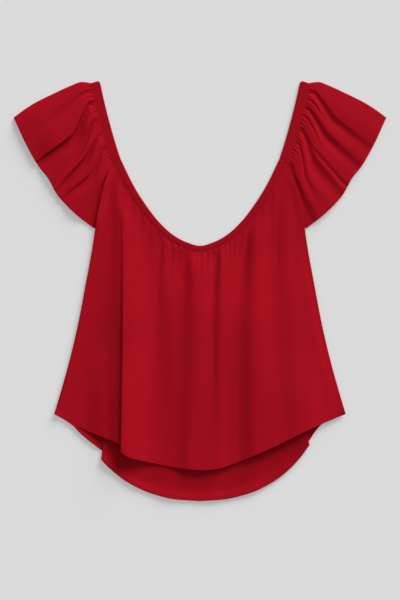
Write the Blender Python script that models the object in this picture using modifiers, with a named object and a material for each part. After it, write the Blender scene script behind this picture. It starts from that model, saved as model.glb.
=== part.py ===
"""A sleeveless top with ruffle straps, laid flat on its back with the front side up.

Metres, with +Z up. +Y runs from the hems to the shoulders and +X to the wearer's left. The origin is on
the surface that the top lies on, under the middle of its outline. Each cut piece of the garment is one
object: an open sheet whose points follow the cut and its folds, with a Solidify wall.

The shapes are worked out for one half and turned over the centre line. There "off" is the distance from
the centre line, and side is +1 for the wearer's left and -1 for the wearer's right.
"""

import math

import bmesh
import bpy

MM = 0.001

# Walls, and the gap that is kept between two pieces where they are sewn together. Along a curved seam
# the gap is wider, for the straight steps of the two edges.
CLOTH = 1.0 * MM
BAND = 2.0 * MM
SEAM_GAP = 0.3 * MM
CURVE_GAP = 0.6 * MM
RUFFLE_GAP = 0.9 * MM

# Heights of the middle of each layer above the table.
BACK_LEVEL = CLOTH / 2
BACK_BAND_LEVEL = BAND / 2
FRONT_BAND_LEVEL = BAND + SEAM_GAP + BAND / 2
SIDE_SEAM_LEVEL = CLOTH + SEAM_GAP + CLOTH / 2
FRONT_LEVEL = 2.8 * MM
RUFFLE_SEAM_LEVEL = 2.6 * MM

# Main sizes, laid flat.
TOTAL_LENGTH = 0.797
SHOULDER_TOP = TOTAL_LENGTH / 2
BACK_HEM_LOW = -TOTAL_LENGTH / 2
NECK_LOW = 0.0852
FRONT_HEM_LOW = -0.3400
JOINT_OFF = 0.1515
JOINT_TOP = 0.2513
PANEL_CORNER = (0.1674, 0.2392)
UNDERARM_Y = 0.1173
HEM_CORNER = (0.2762, -0.2336)

# The inner edge of the neck binding, from the centre front to the strap: distance off the centre, and y.
NECK_EDGE = (
    (0.0, NECK_LOW),
    (0.0266, 0.0924),
    (0.0517, 0.1063),
    (0.0779, 0.1304),
    (0.1026, 0.1622),
    (0.1260, 0.1992),
    (JOINT_OFF, JOINT_TOP),
)
# Width of the binding at each distance off the centre.
BINDING_WIDTH = ((0.0, 0.0100), (0.0600, 0.0115), (0.1100, 0.0132), (JOINT_OFF, 0.0145))
BACK_NECK_DROP = 3 * MM

# Armhole and side seam from the strap joint to the hem corner: y, and distance off the centre.
SIDE_EDGE = (
    (HEM_CORNER[1], HEM_CORNER[0]),
    (-0.1356, 0.2483),
    (-0.0628, 0.2312),
    (0.0124, 0.2168),
    (0.0803, 0.2044),
    (UNDERARM_Y, 0.1989),
    (0.1435, 0.1946),
    (0.2045, 0.1805),
    (PANEL_CORNER[1], PANEL_CORNER[0]),
)

# Hems: distance off the centre, and y. A gore lies between the side seam and the fold beside it.
FRONT_HEM_RIGHT_GORE = ((0.1235, -0.3014), (0.1507, -0.2904), (0.2280, -0.2602), HEM_CORNER)
FRONT_HEM_RIGHT = (
    (0.0, FRONT_HEM_LOW),
    (0.0462, -0.3358),
    (0.0977, -0.3252),
    (0.1372, -0.3132),
    (0.1492, -0.3041),
)
FRONT_HEM_LEFT = (
    (0.0, FRONT_HEM_LOW),
    (0.0234, -0.3389),
    (0.0599, -0.3297),
    (0.0992, -0.3132),
    (0.1507, -0.2904),
    (0.2022, -0.2648),
    HEM_CORNER,
)
BACK_HEM_GORES = {
    -1: ((0.1700, -0.3150), (0.1870, -0.3030), (0.2280, -0.2700), (0.2420, -0.2552), HEM_CORNER),
    1: ((0.1900, -0.3000), (0.2073, -0.2840), (0.2180, -0.2680), (0.2310, -0.2535), HEM_CORNER),
}
BACK_HEM = (
    (0.0, BACK_HEM_LOW),
    (0.0450, -0.3955),
    (0.0935, -0.3838),
    (0.1365, -0.3638),
    (0.1710, -0.3372),
    (0.1900, -0.3165),
    (0.2073, -0.2925),
)


def smooth(rows):
    """A function whose curve runs through the (place, value) rows and doesn't overshoot them."""
    rows = sorted(rows)
    steps = [(b[1] - a[1]) / (b[0] - a[0]) for a, b in zip(rows, rows[1:])]
    inner = [2 * a * b / (a + b) if a * b > 0 else 0.0 for a, b in zip(steps, steps[1:])]
    slopes = [steps[0], *inner, steps[-1]]

    def value(place):
        place = min(max(place, rows[0][0]), rows[-1][0])
        i = max(k for k in range(len(steps)) if k == 0 or rows[k][0] <= place)
        run = rows[i + 1][0] - rows[i][0]
        t = (place - rows[i][0]) / run
        start, end = rows[i][1], rows[i + 1][1]
        return (
            start * (1 + 2 * t) * (1 - t) ** 2
            + end * t * t * (3 - 2 * t)
            + run * slopes[i] * t * (1 - t) ** 2
            - run * slopes[i + 1] * t * t * (1 - t)
        )

    return value


def outline(points):
    """A function that gives the point (off, y) at a share, 0 to 1, of the length through the points."""
    lengths = [0.0]
    for a, b in zip(points, points[1:]):
        lengths.append(lengths[-1] + math.dist(a, b))
    shares = [length / lengths[-1] for length in lengths]
    off = smooth(tuple(zip(shares, (p[0] for p in points))))
    y = smooth(tuple(zip(shares, (p[1] for p in points))))
    return lambda share: (off(share), y(share))


def mix(a, b, share):
    return a + (b - a) * share


def ease(t):
    t = min(max(t, 0.0), 1.0)
    return t * t * (3 - 2 * t)


def spread(start, end, steps):
    return [mix(start, end, i / steps) for i in range(steps + 1)]


def cloth_material(name, colour, roughness):
    material = bpy.data.materials.new(name)
    material.use_nodes = True
    shader = material.node_tree.nodes["Principled BSDF"]
    shader.inputs["Base Color"].default_value = (*colour, 1.0)
    shader.inputs["Roughness"].default_value = roughness
    shader.inputs["Metallic"].default_value = 0.0
    return material


def sheet(name, columns, rows, place, wall, material):
    """One cut piece: a grid of columns by rows, put in place point by point, with an even wall."""
    bm = bmesh.new()
    across, down = len(columns) - 1, len(rows) - 1
    bmesh.ops.create_grid(bm, x_segments=across, y_segments=down, size=1.0)
    for vert in bm.verts:
        column = columns[round((vert.co.x + 1) / 2 * across)]
        row = rows[round((1 - vert.co.y) / 2 * down)]
        vert.co = place(column, row)
    mesh = bpy.data.meshes.new(name)
    bm.to_mesh(mesh)
    bm.free()
    mesh.materials.append(material)
    mesh.shade_smooth()
    piece = bpy.data.objects.new(name, mesh)
    garment.objects.link(piece)
    solid = piece.modifiers.new("Wall", "SOLIDIFY")
    solid.thickness = wall
    solid.offset = 0.0
    return piece


# Neck: the seam under the binding is the inner edge moved out by the binding's width.
neck_edge = smooth([(-off, y) for off, y in NECK_EDGE[1:]] + list(NECK_EDGE))
binding_width = smooth(BINDING_WIDTH)


def binding_point(off, distance, drop):
    """A point of the binding at a distance out from its inner edge; drop lowers it at the centre."""
    reach = 1 * MM
    slope = (neck_edge(abs(off)) - neck_edge(abs(off) - reach)) / reach
    normal = (slope / math.hypot(1, slope), -1 / math.hypot(1, slope))
    joint = (PANEL_CORNER[0] - JOINT_OFF, PANEL_CORNER[1] - JOINT_TOP)
    end = ease((abs(off) - JOINT_TURN) / (JOINT_OFF - JOINT_TURN))
    out = mix(normal[0], joint[0] / math.hypot(*joint), end)
    down = mix(normal[1], joint[1] / math.hypot(*joint), end)
    y = neck_edge(off) - drop * (1 - abs(off) / JOINT_OFF)
    return off + math.copysign(out * distance, off), y + down * distance


def panel_seam(drop):
    """The neck edge of a panel: y at a distance off the centre, out to the corner under the strap."""
    rows = []
    for off in spread(0.0, JOINT_OFF, NECK_STEPS):
        rows.append(binding_point(off, binding_width(off) + CURVE_GAP, drop))
    under_binding = smooth(rows)
    end_off, end_y = rows[-1]

    def seam(off):
        if off <= end_off:
            return under_binding(off)
        return mix(end_y, PANEL_CORNER[1], (off - end_off) / (PANEL_CORNER[0] - end_off))

    return seam


JOINT_TURN = 0.130
NECK_STEPS = 24
front_neck_seam, back_neck_seam = panel_seam(0.0), panel_seam(BACK_NECK_DROP)
side_edge = smooth(SIDE_EDGE)


def side_point(v):
    """The armhole and side edge at the share v of the way from the strap joint to the hem."""
    y = mix(PANEL_CORNER[1], HEM_CORNER[1], v)
    return side_edge(y), y


# A laid-over fold. Going in from the side seam, the cloth turns up and back by an angle, runs back for
# the fold's depth, and turns again to go on towards the centre on top. "edge" is where its rim shows.
def laid_fold(edge, angle, depth, radius):
    return {
        "edge": smooth(edge),
        "angle": smooth(angle),
        "depth": smooth(depth),
        "radius": radius,
    }


FRONT_FOLD = laid_fold(
    edge=((0.0, 0.1400), (0.12, 0.1440), (0.25, 0.1456), (0.6, 0.1462), (1.0, 0.1492)),
    angle=((0.0, 0.0), (0.08, 25.0), (0.25, 62.0), (0.5, 95.0), (0.75, 140.0), (1.0, 168.0)),
    depth=(
        (0.0, 0.0),
        (0.08, 0.7 * MM),
        (0.25, 2.2 * MM),
        (0.5, 3.8 * MM),
        (0.75, 7.5 * MM),
        (1.0, 14 * MM),
    ),
    radius=0.95 * MM,
)
BACK_FOLD_ANGLE = ((0.0, 0.0), (0.68, 0.0), (0.76, 80.0), (0.84, 155.0), (0.92, 176.0), (1.0, 178.0))
BACK_FOLD_DEPTH = (
    (0.0, 0.0),
    (0.68, 0.0),
    (0.76, 0.8 * MM),
    (0.84, 3 * MM),
    (0.92, 7.5 * MM),
    (1.0, 9.5 * MM),
)
BACK_FOLD_RADIUS = 0.9 * MM
BACK_RIMS = {
    -1: ((0.0, 0.1400), (0.6, 0.1690), (0.9, 0.1815), (1.0, 0.1872)),
    1: ((0.0, 0.1400), (0.6, 0.1800), (0.9, 0.2010), (1.0, 0.2073)),
}
BACK_FOLDS = {
    side: laid_fold(rim, BACK_FOLD_ANGLE, BACK_FOLD_DEPTH, BACK_FOLD_RADIUS)
    for side, rim in BACK_RIMS.items()
}

# Width that the fold's cloth keeps while it still lies flat, and the angle by which that is used up.
FLAT_FOLD_WIDTH = 14 * MM
FOLD_FORMED = math.radians(90)


def fold_step(fold, stage, v):
    """How far the cloth has gone in and up at a stage of the fold: 1, 2 and 3 end its turn, run and turn."""
    angle = math.radians(fold["angle"](v))
    depth, radius = fold["depth"](v), fold["radius"]
    first = angle * min(stage, 1.0)
    inward = radius * math.sin(first)
    upward = radius * (1 - math.cos(first))
    if stage > 1:
        run = depth * (min(stage, 2.0) - 1)
        inward += run * math.cos(angle)
        upward += run * math.sin(angle)
    if stage > 2:
        left = angle - angle * (stage - 2)
        inward += radius * (math.sin(angle) - math.sin(left))
        upward += radius * (math.cos(left) - math.cos(angle))
    inward += FLAT_FOLD_WIDTH * stage / 3 * (1 - ease(angle / FOLD_FORMED))
    return inward, upward


def fold_top(fold, v):
    """Distance off the centre at which the cloth leaves the fold, on top."""
    return fold["edge"](v) - fold["radius"]


def fold_start(fold, v):
    """Distance off the centre at which the cloth comes to the fold, underneath."""
    return fold_top(fold, v) + fold_step(fold, 3.0, v)[0]


# Front panel.
front_hem_gore = {-1: smooth(FRONT_HEM_RIGHT_GORE), 1: smooth(FRONT_HEM_LEFT)}
front_hem = {-1: smooth(FRONT_HEM_RIGHT), 1: smooth(FRONT_HEM_LEFT)}
PLAIN_FOLD = laid_fold(((0.0, 0.1500), (1.0, 0.1650)), ((0, 0), (1, 0)), ((0, 0), (1, 0)), 0.0)
FRONT_FOLDS = {-1: FRONT_FOLD, 1: PLAIN_FOLD}

# Long soft ridges and valleys: x of each line that runs down the front, where it passes the neck, the
# waist and the hem, and how high the cloth lies along it there.
RIDGE_ROWS_Y = (0.077, -0.074, -0.290)
FRONT_RIDGES = (
    # x neck, x waist, x hem, height neck, height waist, height hem
    (-0.2050, -0.2320, -0.2620, 0.0, 0.0, 0.0),
    (-0.1900, -0.2080, -0.2160, 0.4 * MM, 0.4 * MM, 0.4 * MM),
    (-0.1740, -0.1760, -0.1760, 1.2 * MM, 3.4 * MM, 2.8 * MM),
    (-0.1444, -0.1444, -0.1473, 6.4 * MM, 11.0 * MM, 10.4 * MM),
    (-0.0950, -0.0820, -0.0900, 1.6 * MM, 2.8 * MM, -0.6 * MM),
    (-0.0684, -0.0520, -0.0580, 2.6 * MM, 6.4 * MM, 0.8 * MM),
    (-0.0342, -0.0360, -0.0420, 2.2 * MM, 6.8 * MM, 2.4 * MM),
    (-0.0133, -0.0057, -0.0170, 5.6 * MM, 10.6 * MM, 6.6 * MM),
    (0.0250, 0.0228, 0.0240, 4.0 * MM, 8.8 * MM, 6.4 * MM),
    (0.0400, 0.0361, 0.0361, 6.8 * MM, 11.2 * MM, 5.8 * MM),
    (0.0646, 0.0600, 0.0540, 5.0 * MM, 10.4 * MM, 3.6 * MM),
    (0.0800, 0.0703, 0.0700, 4.8 * MM, 10.8 * MM, 3.0 * MM),
    (0.0990, 0.1000, 0.1064, 9.2 * MM, 15.8 * MM, 10.4 * MM),
    (0.1470, 0.1500, 0.1672, 3.4 * MM, 8.8 * MM, 6.6 * MM),
    (0.1570, 0.1691, 0.1900, 5.0 * MM, 10.0 * MM, 9.0 * MM),
    (0.1800, 0.2050, 0.2280, 3.4 * MM, 6.8 * MM, 5.8 * MM),
    (0.2090, 0.2360, 0.2700, 0.0, 3.6 * MM, 3.0 * MM),
)
# Gathers under the binding: x at the seam, depth, half width, and how far down they run.
GATHERS = (
    (-0.1330, 0.6 * MM, 5 * MM, 0.030),
    (-0.1180, 0.7 * MM, 5 * MM, 0.030),
    (-0.1035, 0.7 * MM, 5 * MM, 0.040),
    (-0.0860, 0.9 * MM, 5 * MM, 0.045),
    (-0.0690, 1.1 * MM, 5 * MM, 0.060),
    (-0.0480, 1.1 * MM, 4 * MM, 0.050),
    (-0.0345, 1.3 * MM, 4 * MM, 0.045),
    (-0.0145, 1.3 * MM, 5 * MM, 0.060),
    (0.0060, 1.2 * MM, 4 * MM, 0.045),
    (0.0215, 1.0 * MM, 3 * MM, 0.030),
    (0.0335, 1.6 * MM, 4 * MM, 0.080),
    (0.0545, 1.1 * MM, 4 * MM, 0.035),
    (0.0690, 1.1 * MM, 4 * MM, 0.035),
    (0.0875, 1.4 * MM, 5 * MM, 0.080),
    (0.1050, 1.0 * MM, 4 * MM, 0.060),
    (0.1230, 0.8 * MM, 5 * MM, 0.045),
    (0.1390, 0.7 * MM, 5 * MM, 0.045),
)
GATHER_START = 8 * MM
GATHER_AT_SEAM = 0.55
# Height of the back's laid folds under the front, by y, where their rims lie, and how far it fades.
BACK_FOLD_RAISE = smooth(((HEM_CORNER[1], 4.6 * MM), (-0.205, 4.6 * MM), (-0.165, 3.0 * MM), (-0.110, 0.0)))
BACK_RIM_OFF = {-1: 0.183, 1: 0.202}
RAISE_OUTSIDE = 0.040
RAISE_TOP = 0.020
RAISE_INSIDE = 0.080
EDGE_ROLL = 14 * MM
FOLD_SETTLE = 0.085
NECK_SETTLE = 0.07
NECK_PUFF = 0.6 * MM
ARMHOLE_BLEND = 0.03
ARMHOLE_LEAD = 0.012

ridge_lines = [
    (smooth(tuple(zip(RIDGE_ROWS_Y, line[:3]))), smooth(tuple(zip(RIDGE_ROWS_Y, line[3:]))))
    for line in FRONT_RIDGES
]


def edge_level(y):
    """Level of the front's outer edge: on the back at the side seam, raised a little at the armhole."""
    return mix(SIDE_SEAM_LEVEL, FRONT_BAND_LEVEL, ease((y - UNDERARM_Y + ARMHOLE_LEAD) / ARMHOLE_BLEND))


def over_back_folds(side, off, y):
    """Height that the front is raised by where it lies over the laid folds of the back."""
    rim = BACK_RIM_OFF[side]
    outside = 1 - ease((off - rim) / RAISE_OUTSIDE)
    inside = 1 - ease((rim - RAISE_TOP - off) / RAISE_INSIDE)
    return BACK_FOLD_RAISE(y) * outside * inside


def front_relief(x, y):
    """Height of the long ridges above the plain front."""
    return smooth([(line_x(y), height(y)) for line_x, height in ridge_lines])(x)


def gather_relief(seam_x, drop):
    """Depth of the gathers at a distance below the neck seam, along the thread that starts at seam_x."""
    depth = 0.0
    formed = mix(GATHER_AT_SEAM, 1.0, ease(drop / GATHER_START))
    for x, deep, half, long in GATHERS:
        near = math.exp(-(((seam_x - x) / half) ** 2))
        depth += deep * near * formed * math.exp(-drop / long)
    return depth


def across(fold, zone, amount, v, settle):
    """How far off the centre, and how high up its laid fold, a place across a panel comes at v."""
    start, top = fold_start(fold, v), fold_top(fold, v)
    if zone == "gore":
        return mix(side_point(v)[0], start, amount), 0.0
    if zone == "fold":
        inward, up = fold_step(fold, amount, v)
        return start - inward, up
    off = top * amount
    return off, fold_step(fold, 3.0, v)[1] * (1 - ease((top - off) / settle))


def hem_height(fold, zone, amount, gore_hem, hem):
    """y of the hem at a place across a panel."""
    start, top = fold_start(fold, 1.0), fold_top(fold, 1.0)
    if zone == "gore":
        return gore_hem(mix(HEM_CORNER[0], start, amount))
    if zone == "fold":
        return mix(gore_hem(start), hem(top), amount / 3)
    return hem(top * amount)


def front_point(column, v):
    side, zone, amount = column
    fold = FRONT_FOLDS[side]
    off, up = across(fold, zone, amount, v, FOLD_SETTLE)
    seam_off = across(fold, zone, amount, 0.0, FOLD_SETTLE)[0]
    hem_y = hem_height(fold, zone, amount, front_hem_gore[side], front_hem[side])
    seam_y = front_neck_seam(seam_off)
    y = mix(seam_y, hem_y, v)
    drop = seam_y - y
    level = FRONT_LEVEL + over_back_folds(side, off, y) + front_relief(side * off, y)
    if zone == "gore":
        level = mix(edge_level(y), level, ease((side_point(v)[0] - off) / EDGE_ROLL))
    else:
        level += up
    level = mix(FRONT_BAND_LEVEL, level, ease(drop / NECK_SETTLE))
    level -= gather_relief(side * seam_off, drop) - NECK_PUFF * math.exp(-drop / NECK_SETTLE)
    return side * off, y, level


# Back panel: flat on the table, but for its two laid folds, which lift the middle of the hem.
back_hem_gores = {side: smooth(rows) for side, rows in BACK_HEM_GORES.items()}
back_hem = smooth(BACK_HEM)
BACK_SETTLE = 0.040


def back_point(column, v):
    side, zone, amount = column
    fold = BACK_FOLDS[side]
    off, lift = across(fold, zone, amount, v, BACK_SETTLE)
    seam_off = across(fold, zone, amount, 0.0, BACK_SETTLE)[0]
    hem_y = hem_height(fold, zone, amount, back_hem_gores[side], back_hem)
    return side * off, mix(back_neck_seam(seam_off), hem_y, v), BACK_LEVEL + lift


BINDING_STEPS = 44


# Bindings, one for the front neck and one for the back neck, with square ends at the strap joints.
def binding(name, level, drop, material):
    def place(off, share):
        x, y = binding_point(off, share * binding_width(abs(off)), drop)
        return x, y, level

    columns = spread(-JOINT_OFF, JOINT_OFF, BINDING_STEPS)
    return sheet(name, columns, [0.0, 0.5, 1.0], place, BAND, material)


# Straps: a folded band from the front joint over the shoulder fold and down to the back joint.
STRAP_INNER = (
    (JOINT_OFF, JOINT_TOP),
    (0.1609, 0.2809),
    (0.1697, 0.3115),
    (0.1794, 0.3486),
    (0.1860, 0.3770),
    (0.1902, 0.3970),
)
STRAP_OUTER = (
    PANEL_CORNER,
    (0.1771, 0.2700),
    (0.1905, 0.3195),
    (0.1974, 0.3465),
    (0.2040, 0.3769),
    (0.2074, 0.3970),
)
strap_inner, strap_outer = outline(STRAP_INNER), outline(STRAP_OUTER)
STRAP_TURN = (FRONT_BAND_LEVEL - BACK_BAND_LEVEL) / 2
STRAP_SHOULDER = SHOULDER_TOP - STRAP_TURN - BAND / 2
STRAP_STEPS, TURN_STEPS = 12, 6


def strap(name, side, material):
    middle = (FRONT_BAND_LEVEL + BACK_BAND_LEVEL) / 2

    def place(row, across):
        kind, amount = row
        share = 1.0 if kind == "turn" else amount
        (in_off, in_y), (out_off, out_y) = strap_inner(share), strap_outer(share)
        if share == 0.0:
            in_y, out_y = in_y + CURVE_GAP, out_y + CURVE_GAP
        off, y = mix(in_off, out_off, across), mix(in_y, out_y, across)
        y = min(y, STRAP_SHOULDER)
        if kind == "turn":
            y += STRAP_TURN * math.sin(amount)
            return side * off, y, middle + STRAP_TURN * math.cos(amount)
        return side * off, y, FRONT_BAND_LEVEL if kind == "front" else BACK_BAND_LEVEL

    columns = [("front", share) for share in spread(0.0, 1.0, STRAP_STEPS)]
    columns += [("turn", angle) for angle in spread(0.0, math.pi, TURN_STEPS)[1:-1]]
    columns += [("back", share) for share in spread(1.0, 0.0, STRAP_STEPS)]
    rows = [0.0, 0.5, 1.0] if side < 0 else [1.0, 0.5, 0.0]
    return sheet(name, columns, rows, place, BAND, material)


# Ruffles: one piece each, gathered to the strap and the armhole, folded double at the shoulder.
RUFFLE_HEM = (
    (0.3535, 0.3285),
    (0.3490, 0.3190),
    (0.3316, 0.2809),
    (0.3055, 0.2348),
    (0.2884, 0.2135),
    (0.2711, 0.1822),
    (0.2537, 0.1622),
    (0.2318, 0.1415),
    (0.2022, 0.1188),
)
RUFFLE_SEAM = [strap_outer(share) for share in (0.98, 0.85, 0.65, 0.45, 0.25, 0.1)]
RUFFLE_SEAM += [(side_edge(y), y) for y in (0.2380, 0.2345, 0.2290, 0.2200, 0.1950, 0.1650, 0.1400, 0.1200)]
RUFFLE_SEAM = [(off + RUFFLE_GAP, y) for off, y in RUFFLE_SEAM]
# The fold at the shoulder, by share of the way from the strap to the tip.
RUFFLE_SHOULDER = (
    (0.2078, 0.3925),
    (0.2252, 0.3952),
    (0.2470, 0.3880),
    (0.2797, 0.3735),
    (0.3126, 0.3579),
    (0.3535, 0.3285),
)
# Where a thread of the ruffle starts on the seam, for each place along the hem, and how far it bows down.
THREAD_SEAM = ((0.0, 0.0), (0.22, 0.10), (0.38, 0.16), (0.60, 0.30), (0.71, 0.40), (0.86, 0.52), (1.0, 1.0))
THREAD_BOW = ((0.0, 0.0), (0.22, 0.006), (0.385, 0.011), (0.60, 0.007), (0.86, 0.002), (1.0, 0.0))
RUFFLE_LEVEL = 2.4 * MM
SHOULDER_RISE = 1.5 * MM
# Height of the folds of each ruffle at places along its hem, from the shoulder fold to the underarm.
RUFFLE_FOLDS = {
    1: (
        (0.0, SHOULDER_RISE),
        (0.08, 4.0 * MM),
        (0.19, 8.0 * MM),
        (0.225, 1.0 * MM),
        (0.29, 5.0 * MM),
        (0.35, 8.0 * MM),
        (0.39, 1.2 * MM),
        (0.46, 5.0 * MM),
        (0.495, 5.6 * MM),
        (0.515, 4.0 * MM),
        (0.57, 8.0 * MM),
        (0.615, 0.6 * MM),
        (0.70, 5.0 * MM),
        (0.80, 8.0 * MM),
        (0.85, 0.6 * MM),
        (0.90, 2.0 * MM),
        (0.94, 0.5 * MM),
        (1.0, 0.2 * MM),
    ),
    -1: (
        (0.0, SHOULDER_RISE),
        (0.10, 4.5 * MM),
        (0.24, 6.0 * MM),
        (0.33, 9.0 * MM),
        (0.37, 1.0 * MM),
        (0.44, 5.5 * MM),
        (0.49, 6.5 * MM),
        (0.56, 0.6 * MM),
        (0.62, 5.0 * MM),
        (0.66, 6.5 * MM),
        (0.71, 1.5 * MM),
        (0.79, 6.0 * MM),
        (0.86, 1.0 * MM),
        (0.91, 1.6 * MM),
        (0.94, 0.5 * MM),
        (1.0, 0.2 * MM),
    ),
}
FOLD_GROW = 12 * MM
PUCKER_PITCH = 11 * MM
PUCKER_DEPTH = 0.9 * MM
PUCKER_REACH = 15 * MM

ruffle_hem, ruffle_seam = outline(RUFFLE_HEM), outline(RUFFLE_SEAM)
ruffle_shoulder = outline(RUFFLE_SHOULDER)
thread_seam, thread_bow = smooth(THREAD_SEAM), smooth(THREAD_BOW)
seam_thread = smooth([(seam, hem) for hem, seam in THREAD_SEAM])
RUFFLE_SEAM_LENGTH = sum(math.dist(a, b) for a, b in zip(RUFFLE_SEAM, RUFFLE_SEAM[1:]))
JOINT_SHARE = 0.53
ARMHOLE_SHARES = (0.52, 0.6, 0.68, 0.76, 0.84, 0.92, 1.0)
UNDER_THREADS = (0.05, 0.12, 0.22, 0.34, 0.46, 0.58, 0.70, 0.80)
LEAST_STEP = 0.008
# How far along the hem the shoulder fold leads the threads, how far its round edge reaches, and how much
# that edge leans towards the centre.
SHOULDER_LEAD = 0.25
SHOULDER_REACH = 0.15
SHOULDER_LEAN = 0.35


def ruffle_plan(thread, down):
    """(off, y, distance from the seam) of a point on a thread, at a share of its way down to the hem."""
    start, end = ruffle_seam(thread_seam(thread)), ruffle_hem(thread)
    length = math.dist(start, end)
    bow = thread_bow(thread) * 4 * down * (1 - down)
    off = mix(start[0], end[0], down) + bow * (end[1] - start[1]) / length
    y = mix(start[1], end[1], down) - bow * (end[0] - start[0]) / length
    lead = 1 - ease(thread / SHOULDER_LEAD)
    if lead > 0:
        fold_off, fold_y = ruffle_shoulder(down)
        first, last = RUFFLE_SHOULDER[0], RUFFLE_SHOULDER[-1]
        off += lead * (fold_off - mix(first[0], last[0], down))
        y += lead * (fold_y - mix(first[1], last[1], down))
    return off, y, length * down


def over_level(thread, distance, folds):
    """Level of the upper layer."""
    seam = thread_seam(thread)
    grown = distance / (distance + FOLD_GROW)
    level = mix(RUFFLE_SEAM_LEVEL, RUFFLE_LEVEL + folds(thread), grown)
    wave = math.cos(2 * math.pi * seam * RUFFLE_SEAM_LENGTH / PUCKER_PITCH)
    fade = ease((JOINT_SHARE - seam) / 0.05) * ease(distance / (3 * MM)) * math.exp(-distance / PUCKER_REACH)
    return level + PUCKER_DEPTH * wave * fade


def ruffle(name, side, material):
    folds = smooth(RUFFLE_FOLDS[side])

    def place(column, down):
        layer, amount = column
        if layer == "turn":
            off, y, distance = ruffle_plan(0.0, down)
            top = over_level(0.0, distance, folds)
            radius = (top - BACK_LEVEL) / 2
            inward = radius * (1 - math.cos(amount))
            off -= SHOULDER_LEAN * inward
            return side * off, y - inward, BACK_LEVEL + radius * (1 + math.sin(amount))
        off, y, distance = ruffle_plan(amount, down)
        top = over_level(0.0, ruffle_plan(0.0, down)[2], folds)
        inward = (top - BACK_LEVEL) / 2 * (1 - ease(amount / SHOULDER_REACH))
        off, y = off - SHOULDER_LEAN * inward, y - inward
        if layer == "over":
            return side * off, y, over_level(amount, distance, folds)
        return side * off, y, BACK_LEVEL

    half_puckers = int(JOINT_SHARE * RUFFLE_SEAM_LENGTH / (PUCKER_PITCH / 2))
    threads = {seam_thread(k * PUCKER_PITCH / 2 / RUFFLE_SEAM_LENGTH) for k in range(1, half_puckers)}
    threads |= {share for share, height in RUFFLE_FOLDS[side] if share > 0}
    threads |= {seam_thread(share) for share in ARMHOLE_SHARES}
    threads = sorted(threads)
    kept = [threads[0]]
    for thread in threads[1:]:
        if thread - kept[-1] > LEAST_STEP or thread == 1.0:
            kept.append(thread)
    columns = [("over", thread) for thread in reversed(kept)]
    columns += [("turn", angle) for angle in spread(math.pi / 2, -math.pi / 2, 6)]
    columns += [("under", thread) for thread in UNDER_THREADS]
    columns += [("under", seam_thread(share)) for share in ARMHOLE_SHARES]
    if side > 0:
        columns.reverse()
    rows = [1.0, 0.8, 0.62, 0.45, 0.3, 0.19, 0.11, 0.05, 0.0]
    if side > 0:
        rows.reverse()
    return sheet(name, columns, rows, place, CLOTH, material)


FOLD_STAGES = (0.25, 0.5, 0.75, 1.0, 1.33, 1.67, 2.0, 2.25, 2.5, 2.75, 3.0)


def panel_columns(gore, centre, folded):
    """The columns of a panel from the wearer's right side seam to the left one."""

    def half(side):
        columns = [(side, "gore", amount) for amount in gore]
        if side in folded:
            columns += [(side, "fold", stage) for stage in FOLD_STAGES]
        return columns + [(side, "centre", amount) for amount in centre[side][1:]]

    return half(-1) + list(reversed(half(1)))[1:]


def gather_columns(side):
    """Shares of the centre zone, from the fold to the centre front, at each gather and between them."""
    reach = fold_top(FRONT_FOLDS[side], 0.0)
    marks = sorted({round(side * row[0] / reach, 4) for row in GATHERS if 0 < side * row[0] < reach * 0.97})
    marks = [0.0, *marks, 1.0]
    between = [mix(a, b, 0.5) for a, b in zip(marks, marks[1:])]
    return sorted(marks + between, reverse=True)


for old in list(bpy.data.objects):
    bpy.data.objects.remove(old)
garment = bpy.data.collections.new("ruffle_strap_top")
bpy.context.scene.collection.children.link(garment)

red_crepe = cloth_material("red_crepe", (0.362, 0.0037, 0.0118), 0.70)
red_binding = cloth_material("red_binding", (0.352, 0.0036, 0.0112), 0.68)

FRONT_ROWS = [0.0, 0.02, 0.05, 0.09, 0.14, 0.21, 0.29, 0.37, 0.46, 0.55, 0.64, 0.73, 0.81, 0.88, 0.94, 1.0]
BACK_ROWS = [0.0, 0.1, 0.25, 0.4, 0.54, 0.67, 0.72, 0.77, 0.82, 0.88, 0.94, 1.0]
GORE_SHARES = [0.0, 0.03, 0.09, 0.18, 0.27, 0.42, 0.6, 0.8, 1.0]
CENTRE_SHARES = spread(1.0, 0.0, 15)

front_columns = panel_columns(GORE_SHARES, {-1: gather_columns(-1), 1: gather_columns(1)}, (-1,))
back_columns = panel_columns(GORE_SHARES, {-1: CENTRE_SHARES, 1: CENTRE_SHARES}, (-1, 1))
sheet("front_panel", front_columns, FRONT_ROWS, front_point, CLOTH, red_crepe)
sheet("back_panel", back_columns, BACK_ROWS, back_point, CLOTH, red_crepe)
binding("front_binding", FRONT_BAND_LEVEL, 0.0, red_binding)
binding("back_binding", BACK_BAND_LEVEL, BACK_NECK_DROP, red_binding)
for word, hand in (("left", 1), ("right", -1)):
    strap(f"strap_{word}", hand, red_binding)
    ruffle(f"ruffle_{word}", hand, red_crepe)
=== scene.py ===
"""The looks of a red ruffle-strap top, laid flat with its front up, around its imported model."""

import math
from functools import lru_cache

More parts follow.
